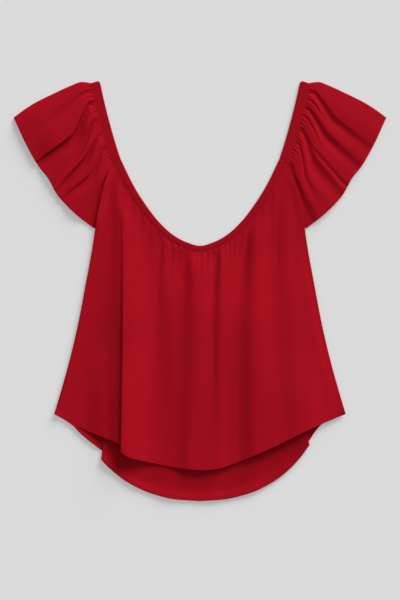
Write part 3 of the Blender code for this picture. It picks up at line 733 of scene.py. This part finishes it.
# Where the front lies over the laid folds of the back it is raised by this height at each y, between its
# outer and its inner slope.
BACK_FOLD_RAISE = smooth(((HEM_CORNER[1], 4.6 * MM), (-0.205, 4.6 * MM), (-0.165, 3.0 * MM), (-0.110, 0.0)))
BACK_RIM_OFF = {-1: 0.183, 1: 0.202}
RAISE_OUTER_SLOPE = 0.040
RAISE_FLAT = 0.020
RAISE_INNER_SLOPE = 0.080
# How far the front's own fold takes to settle, and how far below the binding the front reaches its level,
# its ridges their height, and a small gather or tuck its own.
FOLD_SETTLE = 0.085
NECK_SETTLE = 0.130
RIDGE_START = 0.038
NECK_CLEAR = 3.5 * MM
# The outer edge changes its level from a little below the underarm on, and again up to the strap joint.
UNDERARM_BELOW = 0.012
UNDERARM_RUN = 0.03
JOINT_RAISE = 0.6 * MM
JOINT_RUN = 0.045
# The plain level that the ridges rise and fall from near the neck: x, height.
RIDGE_MIDDLE = smooth(
    ((-0.210, 1.8 * MM), (-0.150, 3.4 * MM), (0.0, 4.0 * MM), (0.090, 6.4 * MM), (0.210, 2.8 * MM))
)
# The lowest level of the front, and how softly it comes down to it.
FRONT_FLOOR = 2.2 * MM
FLOOR_ROUND = 1.0 * MM


def edge_level(side, y):
    """Level of the front's outer edge: at the side seam, over the ruffle at the armhole, and at the strap."""
    above_underarm = ease((y - UNDERARM_Y + UNDERARM_BELOW) / UNDERARM_RUN)
    level = mix(SIDE_SEAM_LEVEL, ARMHOLE_LEVEL[side], above_underarm)
    near_joint = ease((y - PANEL_CORNER[1] + JOINT_RUN) / JOINT_RUN)
    return mix(level, FRONT_BAND_LEVEL + JOINT_RAISE, near_joint)


def over_back_folds(side, off, y):
    """Height that the front is raised by where it lies over the laid folds of the back."""
    rim = BACK_RIM_OFF[side]
    outside = 1 - ease((off - rim) / RAISE_OUTER_SLOPE)
    inside = 1 - ease((rim - RAISE_FLAT - off) / RAISE_INNER_SLOPE)
    return BACK_FOLD_RAISE(y) * outside * inside


ridge_lines = [
    (smooth(tuple(zip(RIDGE_ROWS_Y, line[:3]))), smooth(tuple(zip(RIDGE_ROWS_Y, line[3:]))))
    for line in FRONT_RIDGES
]


@lru_cache(maxsize=None)
def ridge_section(y):
    """The height of the long ridges across the front at y, as a function of x."""
    return smooth([(x(y), height(y)) for x, height in ridge_lines])


def front_relief(x, y):
    """Height of the long ridges above the plain front."""
    return ridge_section(round(y, 3))(x)


def gather_relief(seam_x, drop, clear):
    """Height of the gathers at a distance below the neck seam, and clear of the binding, on one thread."""
    height = 0.0
    widen = 1 + drop / GATHER_SPREAD
    for x, high, rise, fall, long in GATHERS:
        if drop < GATHER_REACH * long:
            flank = rise * widen
            crest = pleat(seam_x - x, flank, fall * widen)
            foot = bump(seam_x - x + flank, flank * GATHER_FOOT, flank)
            grown = ease(clear / (NECK_CLEAR + max(high - SMALL_GATHER, 0.0) * GATHER_CLIMB))
            height += high * grown * math.exp(-drop / long) * (crest - foot) / 2
    if drop < GATHER_REACH * TUCK_RUN:
        uneven = TUCK_LEAST + TUCK_UNEVEN * math.sin(seam_x * TUCK_UNEVEN_WAVE + TUCK_UNEVEN_SHIFT)
        drift = TUCK_DRIFT * math.sin(seam_x * TUCK_DRIFT_WAVE)
        tucks = math.sin(2 * math.pi * seam_x / TUCK_PITCH + drift)
        shown = math.exp(-drop / TUCK_RUN) * (1 - ease((abs(seam_x) - TUCK_END) / TUCK_END_FADE))
        shown *= ease(clear / NECK_CLEAR)
        height += TUCK_DEPTH * uneven * tucks * shown
    return height


@lru_cache(maxsize=None)
def neck_facing(off):
    """How squarely the neck edge faces down the front at a distance off the centre, 1 where it is level."""
    reach = 1 * MM
    return reach / math.hypot(reach, front_neck_seam(off + reach) - front_neck_seam(off))


def front_point(column, v):
    side, zone, amount = column
    fold = FRONT_FOLDS[side]
    off, up = across(fold, zone, amount, v, FOLD_SETTLE)
    seam_off = across(fold, zone, amount, 0.0, FOLD_SETTLE)[0]
    hem_y = hem_height(fold, zone, amount, front_hem_gore[side], front_hem[side])
    seam_y = front_neck_seam(seam_off)
    y = mix(seam_y, hem_y, v)
    drop = seam_y - y
    from_hem = (1 - v) * (seam_y - hem_y)
    past_binding = max(drop * neck_facing(min(seam_off, JOINT_TURN)) - NECK_TUCK, 0.0)
    middle = RIDGE_MIDDLE(side * off)
    level = FRONT_LEVEL + over_back_folds(side, off, y) + middle
    level = mix(FRONT_BAND_LEVEL, level, ease(past_binding / NECK_SETTLE))
    level += (front_relief(side * off, y) - middle) * ease(past_binding / RIDGE_START)
    level += gather_relief(side * seam_off, drop, past_binding)
    above = level - FRONT_FLOOR
    level = FRONT_FLOOR + (above + math.hypot(above, FLOOR_ROUND)) / 2
    if zone == "gore":
        level = mix(edge_level(side, y), level, ease((side_point(v)[0] - off) / SIDE_ROLL))
    else:
        level += up * ease(past_binding / RIDGE_START)
    return side * off, y, level + turned_hem(from_hem, FRONT_HEM_WIDTH)


# The rows of the mesh lie closer at the hem and at the neck, at these distances in millimetres.
FRONT_LENGTH = 0.43
FRONT_HEM_ROWS = (22, 18, 15.5, 14, 13, 12.2, 11.4, 10.6, 9.5, 7.5, 5, 2.5, 1, 0)
NECK_ROWS = (0, 1.5, 3, 4, 5, 6, 7, 8.2, 9.6, 11.2, 13, 15, 17.5, 20, 23, 26)
FRONT_ROW_STEPS = 66
front_hem_rows = [1 - distance * MM / FRONT_LENGTH for distance in FRONT_HEM_ROWS]
neck_rows = [distance * MM / FRONT_LENGTH for distance in NECK_ROWS]
plain_rows = spread(neck_rows[-1], front_hem_rows[0], FRONT_ROW_STEPS)[1:-1]
front_rows = neck_rows + plain_rows + front_hem_rows
front_columns = panel_columns(gore_steps=36, centre_steps=156, fold_steps=36, folded=(-1,))
front_panel = sheet("front_panel_cloth", front_columns, front_rows, front_point, CLOTH, crepe_red)
front_stitches = stitching(
    "front_hem_stitches",
    hem_paths(front_columns, front_point, FRONT_HEM_WIDTH),
    STITCH_DEPTH,
    thread_red,
)
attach(front_panel, "root")
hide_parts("front_panel")

# Neck bindings: a strip of the crepe folded over the gathered neck edge, front and back, and stitched
# through both leaves near its outer edge.
BINDING_CLOTH = 0.6 * MM
LEAF = 0.7 * MM
BINDING_STITCH = 1.7 * MM
BACK_BAND_LEVEL = 1.0 * MM
BAND_STITCH_DEPTH = LEAF + 0.35 * MM
# A leaf of the strip: its groove at the stitches, how full it is up to a share of its width, and how far it
# closes on the other leaf at its open edge.
LEAF_GROOVE = 0.30 * MM
LEAF_GROOVE_HALF = 0.5 * MM
LEAF_BELLY = 0.12 * MM
LEAF_BELLY_END = 0.85
LEAF_CLOSING = 0.12 * MM
LEAF_CLOSING_START = 0.9
LEAF_CLOSING_RUN = 0.1
LEAF_TURN_STEPS = 8
BINDING_STEPS = 300
# Places round the folded strip: share of the width from the inner edge, and side of the fold.
LEAF_SHARES = (1.0, 0.96, 0.92, 0.89, 0.86, 0.83, 0.8, 0.6, 0.4, 0.2, 0.1)


def folded_strip():
    """Places round a strip folded in two: its top leaf from the open edge, the turn and its lower leaf."""
    top = [("top", share) for share in LEAF_SHARES]
    turn = [("turn", angle) for angle in spread(0.0, math.pi, LEAF_TURN_STEPS)]
    lower = [("lower", share) for share in reversed(LEAF_SHARES)]
    return top + turn + lower


def leaf_section(place, width):
    """Distance out from the folded edge, and height from the middle, of a place round a folded strip."""
    leaf, amount = place
    if leaf == "turn":
        return LEAF * (1 - math.sin(amount)), LEAF * math.cos(amount)
    out = mix(LEAF, width, amount)
    groove = LEAF_GROOVE * hollow(width - out - BINDING_STITCH, LEAF_GROOVE_HALF)
    belly = LEAF_BELLY * math.sin(math.pi * min(amount / LEAF_BELLY_END, 1.0))
    closing = LEAF_CLOSING * ease((amount - LEAF_CLOSING_START) / LEAF_CLOSING_RUN)
    height = LEAF + belly - groove - closing
    return out, height if leaf == "top" else -height


def binding(name, level, drop):
    def place(off, position):
        out, height = leaf_section(position, binding_width(abs(off)))
        x, y = binding_point(off, out, drop)
        return x, y, level + height

    columns = spread(-JOINT_OFF, JOINT_OFF, BINDING_STEPS)
    strip = sheet(name + "_cloth", columns, folded_strip(), place, BINDING_CLOTH, binding_red)
    path = []
    for off in columns:
        x, y = binding_point(off, binding_width(abs(off)) - BINDING_STITCH, drop)
        path.append(Vector((x, y, level)))
    stitches = stitching(name + "_stitches", [path], BAND_STITCH_DEPTH, thread_red)
    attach(strip, "root")
    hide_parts(name)


BINDING_COLOUR = (0.338, 0.0035, 0.0108)
binding_red = red_cloth("red_binding", BINDING_COLOUR, CREPE_GRAIN, roughness=0.68)
binding("front_binding", FRONT_BAND_LEVEL, 0.0)
binding("back_binding", BACK_BAND_LEVEL, BACK_NECK_DROP)

# Straps: a strip folded in two round the ruffle's gathered edge, from the front joint over the shoulder,
# where it lies folded, and down to the back joint. It is stitched near its outer edge.
STRAP_INNER = (
    (JOINT_OFF, JOINT_TOP),
    (0.1609, 0.2809),
    (0.1697, 0.3115),
    (0.1794, 0.3486),
    (0.1860, 0.3770),
    (0.1902, 0.3970),
)
STRAP_OUTER = (
    PANEL_CORNER,
    (0.1771, 0.2700),
    (0.1905, 0.3195),
    (0.1974, 0.3465),
    (0.2040, 0.3769),
    (0.2074, 0.3970),
)
strap_inner, strap_outer = outline(STRAP_INNER), outline(STRAP_OUTER)
STRAP_TURN = (FRONT_BAND_LEVEL - BACK_BAND_LEVEL) / 2
STRAP_MIDDLE = (FRONT_BAND_LEVEL + BACK_BAND_LEVEL) / 2
# The shoulder fold of the strap, from its inner to its outer edge, with a rounded inner corner.
strap_shoulder = smooth(((0.0, 0.3940), (0.15, 0.3955), (1.0, 0.3918)))
STRAP_STEPS = 70
STRAP_TURN_STEPS = 10


def strap_point(side, row, out, height):
    """A point of the strap: row is its place along the path, out the distance from its inner edge."""
    kind, amount = row
    share = 1.0 if kind == "turn" else amount
    (in_off, in_y), (out_off, out_y) = strap_inner(share), strap_outer(share)
    width = math.dist((in_off, in_y), (out_off, out_y))
    off, y = mix(in_off, out_off, out / width), mix(in_y, out_y, out / width)
    y = min(y, strap_shoulder(out / width))
    if kind == "turn":
        reach = STRAP_TURN + height
        return side * off, y + reach * math.sin(amount), STRAP_MIDDLE + reach * math.cos(amount)
    if kind == "front":
        return side * off, y, FRONT_BAND_LEVEL + height
    return side * off, y, BACK_BAND_LEVEL - height


def strap(word, side):
    name = "strap_" + word
    width = math.dist(STRAP_INNER[2], STRAP_OUTER[2])

    def place(row, position):
        out, height = leaf_section(position, width)
        return strap_point(side, row, out, height)

    path_rows = [("front", share) for share in spread(0.0, 1.0, STRAP_STEPS)]
    path_rows += [("turn", angle) for angle in spread(0.0, math.pi, STRAP_TURN_STEPS)[1:-1]]
    path_rows += [("back", share) for share in spread(1.0, 0.0, STRAP_STEPS)]
    places = folded_strip()
    if side > 0:
        places.reverse()
    strip = sheet(name + "_cloth", path_rows, places, place, BINDING_CLOTH, binding_red)
    path = [Vector(strap_point(side, row, width - BINDING_STITCH, 0.0)) for row in path_rows]
    stitches = stitching(name + "_stitches", [path], BAND_STITCH_DEPTH, thread_red)
    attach(strip, "root")
    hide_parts(name)


strap("left", 1)
strap("right", -1)

# Ruffles: one piece of crepe each, gathered to the strap's outer edge and into the armhole, with a narrow
# turned hem. Each lies folded double at the shoulder, its front half in soft folds over its back half.
STRAP_TUCK = 2.2 * MM
ARMHOLE_TUCK = 4 * MM
RUFFLE_HEM_WIDTH = 8 * MM
RUFFLE_HEM = (
    (0.3535, 0.3285),
    (0.3490, 0.3190),
    (0.3316, 0.2809),
    (0.3055, 0.2348),
    (0.2884, 0.2135),
    (0.2711, 0.1822),
    (0.2537, 0.1622),
    (0.2318, 0.1415),
    (0.2022, 0.1188),
)
RUFFLE_SHOULDER = (
    (0.2060, 0.3925),
    (0.2252, 0.3950),
    (0.2470, 0.3876),
    (0.2797, 0.3727),
    (0.3126, 0.3565),
    (0.3340, 0.3430),
    (0.3535, 0.3285),
)
# The seam of the ruffle, at shares of the strap's outer edge and then at places down the armhole.
STRAP_SEAM_SHARES = (0.98, 0.85, 0.65, 0.45, 0.25, 0.1)
ARMHOLE_SEAM_Y = (0.2380, 0.2345, 0.2290, 0.2200, 0.1950, 0.1650, 0.1400, 0.1200)
RUFFLE_SEAM = []
for share in STRAP_SEAM_SHARES:
    seam_off, seam_y = strap_outer(share)
    RUFFLE_SEAM.append((seam_off - STRAP_TUCK, seam_y))
for seam_y in ARMHOLE_SEAM_Y:
    RUFFLE_SEAM.append((side_edge(seam_y) - ARMHOLE_TUCK, seam_y))
# Where a thread of the ruffle starts on the seam, for each place along the hem, both from the shoulder.
THREAD_SEAM = ((0.0, 0.0), (0.22, 0.12), (0.38, 0.22), (0.60, 0.38), (0.71, 0.48), (0.86, 0.62), (1.0, 1.0))
JOINT_SHARE = 0.53
RUFFLE_GROUND = BACK_LEVEL
RUFFLE_SEAM_LEVEL = 3.0 * MM
RUFFLE_FLOOR = 2.0 * MM
# How high the upper layer swells over each thread, between its valleys.
RUFFLE_CRESTS = {
    1: (
        (0.0, 3.4 * MM),
        (0.17, 7.4 * MM),
        (0.5, 7.0 * MM),
        (0.88, 7.2 * MM),
        (0.95, 5.5 * MM),
        (1.0, 2.4 * MM),
    ),
    -1: (
        (0.0, 5.0 * MM),
        (0.10, 10.2 * MM),
        (0.36, 14.8 * MM),
        (0.46, 11.0 * MM),
        (0.56, 13.0 * MM),
        (0.66, 11.0 * MM),
        (0.78, 9.6 * MM),
        (0.88, 5.4 * MM),
        (0.95, 3.0 * MM),
        (1.0, 2.4 * MM),
    ),
}
CREST_GROW = {1: 11 * MM, -1: 20 * MM}
HEM_CREST = 8.4 * MM
HEM_CREST_RUN = 60 * MM
# Valleys between the folds of each ruffle: the thread that they follow near the strap, halfway and at the
# hem, how deep they are there as a share of the swell, the width in threads of the flank above and below,
# and how far the cloth above hangs over them.
VALLEY_ROWS = (0.10, 0.45, 0.90)
RUFFLE_VALLEYS = {
    1: (
        # thread strap, middle, hem; depth strap, middle, hem; flank above, below; overhang
        (0.11, 0.235, 0.26, 0.85, 0.72, 0.38, 0.050, 0.090, 0.0),
        (0.19, 0.300, 0.33, 0.50, 0.10, 0.00, 0.030, 0.035, 0.0),
        (0.28, 0.400, 0.42, 0.85, 0.85, 0.42, 0.055, 0.090, 0.0),
        (0.37, 0.480, 0.50, 0.50, 0.12, 0.05, 0.030, 0.035, 0.0),
        (0.50, 0.645, 0.665, 0.75, 0.92, 0.50, 0.075, 0.100, 0.0),
        (0.52, 0.560, 0.580, 0.10, 0.30, 0.35, 0.030, 0.035, 0.0),
        (0.62, 0.780, 0.820, 0.55, 0.30, 0.00, 0.040, 0.040, 0.0),
        (0.80, 0.935, 0.96, 0.90, 0.95, 0.85, 0.090, 0.400, 0.0),
    ),
    -1: (
        (0.11, 0.160, 0.20, 0.35, 0.20, 0.05, 0.050, 0.060, 0.0),
        (0.22, 0.415, 0.405, 0.75, 0.96, 0.70, 0.050, 0.160, 0.085),
        (0.41, 0.535, 0.57, 0.55, 0.65, 0.25, 0.050, 0.050, 0.015),
        (0.54, 0.630, 0.64, 0.60, 0.90, 0.50, 0.045, 0.060, 0.035),
        (0.66, 0.745, 0.71, 0.60, 0.70, 0.50, 0.045, 0.055, 0.020),
        (0.84, 0.915, 0.93, 0.90, 0.95, 0.90, 0.060, 0.400, 0.0),
    ),
}
VALLEY_NARROW = 0.55
# Puffs where the ruffle is gathered: pitch along the seam, height, and how far out they run. They rise and
# sink about their middle, their pitch drifts along the seam, and they end at the armhole.
PUFFS = ((6.4 * MM, 3.0 * MM, 8 * MM), (13 * MM, 1.2 * MM, 13 * MM))
PUFF_ROUND = 0.7
PUFF_MIDDLE = 0.7
PUFF_DRIFT = 0.22
PUFF_DRIFT_WAVE = 130
PUFF_DRIFT_SHIFT = 700
PUFF_END_FADE = 0.05
PUFF_START = 3 * MM
PUFF_FLOOR = 1.6 * MM
PUFF_FLOOR_ROUND = 0.6 * MM
# The lower layer ends a little inside the upper one, from a short way past the shoulder on.
UNDER_INSET = 0.975
INSET_START = 0.1
# How much the turn at the shoulder leans towards the neck, and the thread where the layers are clear of it.
TURN_LEAN = 0.35
TURN_FADE = 0.15
# The stretch of the hem where the lower layer's edge curls up.
CURL_START = 0.20
CURL_END = 0.64
CURL_FADE = 0.10

# The threads and the rows of the mesh: first and last share, and how many steps between them.
GATHERED_THREADS = (0.003, 0.54, 220)
ARMHOLE_THREADS = (0.55, 1.0, 40)
UNDER_THREADS = (0.012, 1.0, 80)
SHOULDER_STEPS = 12
RUFFLE_ROWS = ((1.0, 0.9, 18), (0.9, 0.2, 36), (0.2, 0.0, 30))

ruffle_hem = outline(RUFFLE_HEM)
ruffle_seam = outline(RUFFLE_SEAM)
ruffle_shoulder = outline(RUFFLE_SHOULDER)
thread_seam = smooth(THREAD_SEAM)
seam_thread = smooth([(seam, hem) for hem, seam in THREAD_SEAM])
RUFFLE_SEAM_LENGTH = sum(math.dist(a, b) for a, b in zip(RUFFLE_SEAM, RUFFLE_SEAM[1:]))
SHOULDER_LEAD = 0.25


def ruffle_plan(thread, down):
    """A thread's off, y, distance from the seam and distance from the hem, at a share of its way down."""
    start, end = ruffle_seam(thread_seam(thread)), ruffle_hem(thread)
    length = math.dist(start, end)
    off, y = mix(start[0], end[0], down), mix(start[1], end[1], down)
    lead = 1 - ease(thread / SHOULDER_LEAD)
    if lead > 0:
        fold_off, fold_y = ruffle_shoulder(down)
        first, last = RUFFLE_SHOULDER[0], RUFFLE_SHOULDER[-1]
        off += lead * (fold_off - mix(first[0], last[0], down))
        y += lead * (fold_y - mix(first[1], last[1], down))
    return off, y, length * down, length * (1 - down)


def valley_curves(row):
    """A valley's thread and depth as functions of the way down, with its flanks and overhang."""
    line = smooth(tuple(zip(VALLEY_ROWS, row[:3])))
    depth = smooth(tuple(zip(VALLEY_ROWS, row[3:6])))
    return line, depth, *row[6:]


def ruffle_relief(thread, down, valleys):
    """Share of the swell that the valleys leave at a point, and how far its thread is pulled under."""
    left, pulled = 1.0, 0.0
    narrow = mix(VALLEY_NARROW, 1.0, ease(down / VALLEY_ROWS[1]))
    for line, depth, above, below, overhang in valleys:
        sunk = bump(thread - line(down), above * narrow, below * narrow)
        left *= 1 - depth(down) * sunk
        pulled += overhang * sunk * ease(down / VALLEY_ROWS[1]) * depth(down)
    return left, pulled


def over_level(side, thread, distance, from_hem, crest, left):
    """Level of the upper layer, where its swell has the height crest and the valleys leave a share of it."""
    grown = distance / (distance + CREST_GROW[side])
    crest = mix(HEM_CREST, crest, ease(from_hem / HEM_CREST_RUN)) if crest > HEM_CREST else crest
    crest = mix(RUFFLE_SEAM_LEVEL, crest, grown)
    level = RUFFLE_FLOOR + (crest - RUFFLE_FLOOR) * left
    along = thread_seam(thread) * RUFFLE_SEAM_LENGTH
    fade = ease((JOINT_SHARE - thread_seam(thread)) / PUFF_END_FADE) * ease(distance / PUFF_START)
    for pitch, height, run in PUFFS:
        turn = along / pitch + PUFF_DRIFT * math.sin(along * PUFF_DRIFT_WAVE + pitch * PUFF_DRIFT_SHIFT)
        puff = abs(math.sin(math.pi * turn)) ** PUFF_ROUND - PUFF_MIDDLE
        level += height * puff * fade * math.exp(-distance / run)
    above = level - PUFF_FLOOR
    level = PUFF_FLOOR + (above + math.hypot(above, PUFF_FLOOR_ROUND)) / 2
    return level + turned_hem(from_hem, RUFFLE_HEM_WIDTH)


def ruffle(word, side):
    name = "ruffle_" + word
    valleys = [valley_curves(row) for row in RUFFLE_VALLEYS[side]]
    crest = smooth(RUFFLE_CRESTS[side])

    def place(column, down):
        layer, amount = column
        thread = 0.0 if layer == "turn" else amount
        shoulder = ruffle_plan(0.0, down)
        radius = (over_level(side, 0.0, *shoulder[2:], crest(0.0), 1.0) - RUFFLE_GROUND) / 2
        if layer == "turn":
            inward = radius * (1 - math.cos(amount))
            return (
                side * (shoulder[0] - TURN_LEAN * inward),
                shoulder[1] - inward,
                RUFFLE_GROUND + radius * (1 + math.sin(amount)),
            )
        left, pulled = ruffle_relief(thread, down, valleys)
        inward = radius * (1 - ease(thread / TURN_FADE))
        if layer == "over":
            off, y, distance, from_hem = ruffle_plan(thread - pulled, down)
            level = over_level(side, thread, distance, from_hem, crest(thread), left)
            return side * (off - TURN_LEAN * inward), y - inward, level
        inset = mix(1.0, UNDER_INSET, ease(thread / INSET_START))
        off, y, _, from_hem = ruffle_plan(thread, down * inset)
        curl = HEM_CURL * (1 - ease(from_hem / HEM_CURL_RUN))
        curl *= ease(thread / CURL_START) * (1 - ease((thread - CURL_END) / CURL_FADE))
        level = RUFFLE_GROUND + turned_hem(from_hem, RUFFLE_HEM_WIDTH) + curl
        return side * (off - TURN_LEAN * inward), y - inward, level

    over = [seam_thread(share) for share in spread(*GATHERED_THREADS) + spread(*ARMHOLE_THREADS)]
    columns = [("over", thread) for thread in reversed(over)]
    columns += [("turn", angle) for angle in spread(math.pi / 2, -math.pi / 2, SHOULDER_STEPS)]
    columns += [("under", seam_thread(share)) for share in spread(*UNDER_THREADS)]
    rows = [1.0] + [row for part in RUFFLE_ROWS for row in spread(*part)[1:]]
    if side > 0:
        columns.reverse()
        rows.reverse()
    cloth = sheet(name + "_cloth", columns, rows, place, CLOTH, crepe_red)
    path = []
    for column in columns:
        reach = sum(ruffle_plan(0.0 if column[0] == "turn" else column[1], 0.5)[2:])
        path.append(Vector(place(column, 1 - RUFFLE_HEM_WIDTH / max(reach, 2 * RUFFLE_HEM_WIDTH))))
    stitches = stitching(name + "_hem_stitches", [path], STITCH_DEPTH, thread_red)
    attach(cloth, "root")
    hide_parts(name)


ruffle("left", 1)
ruffle("right", -1)
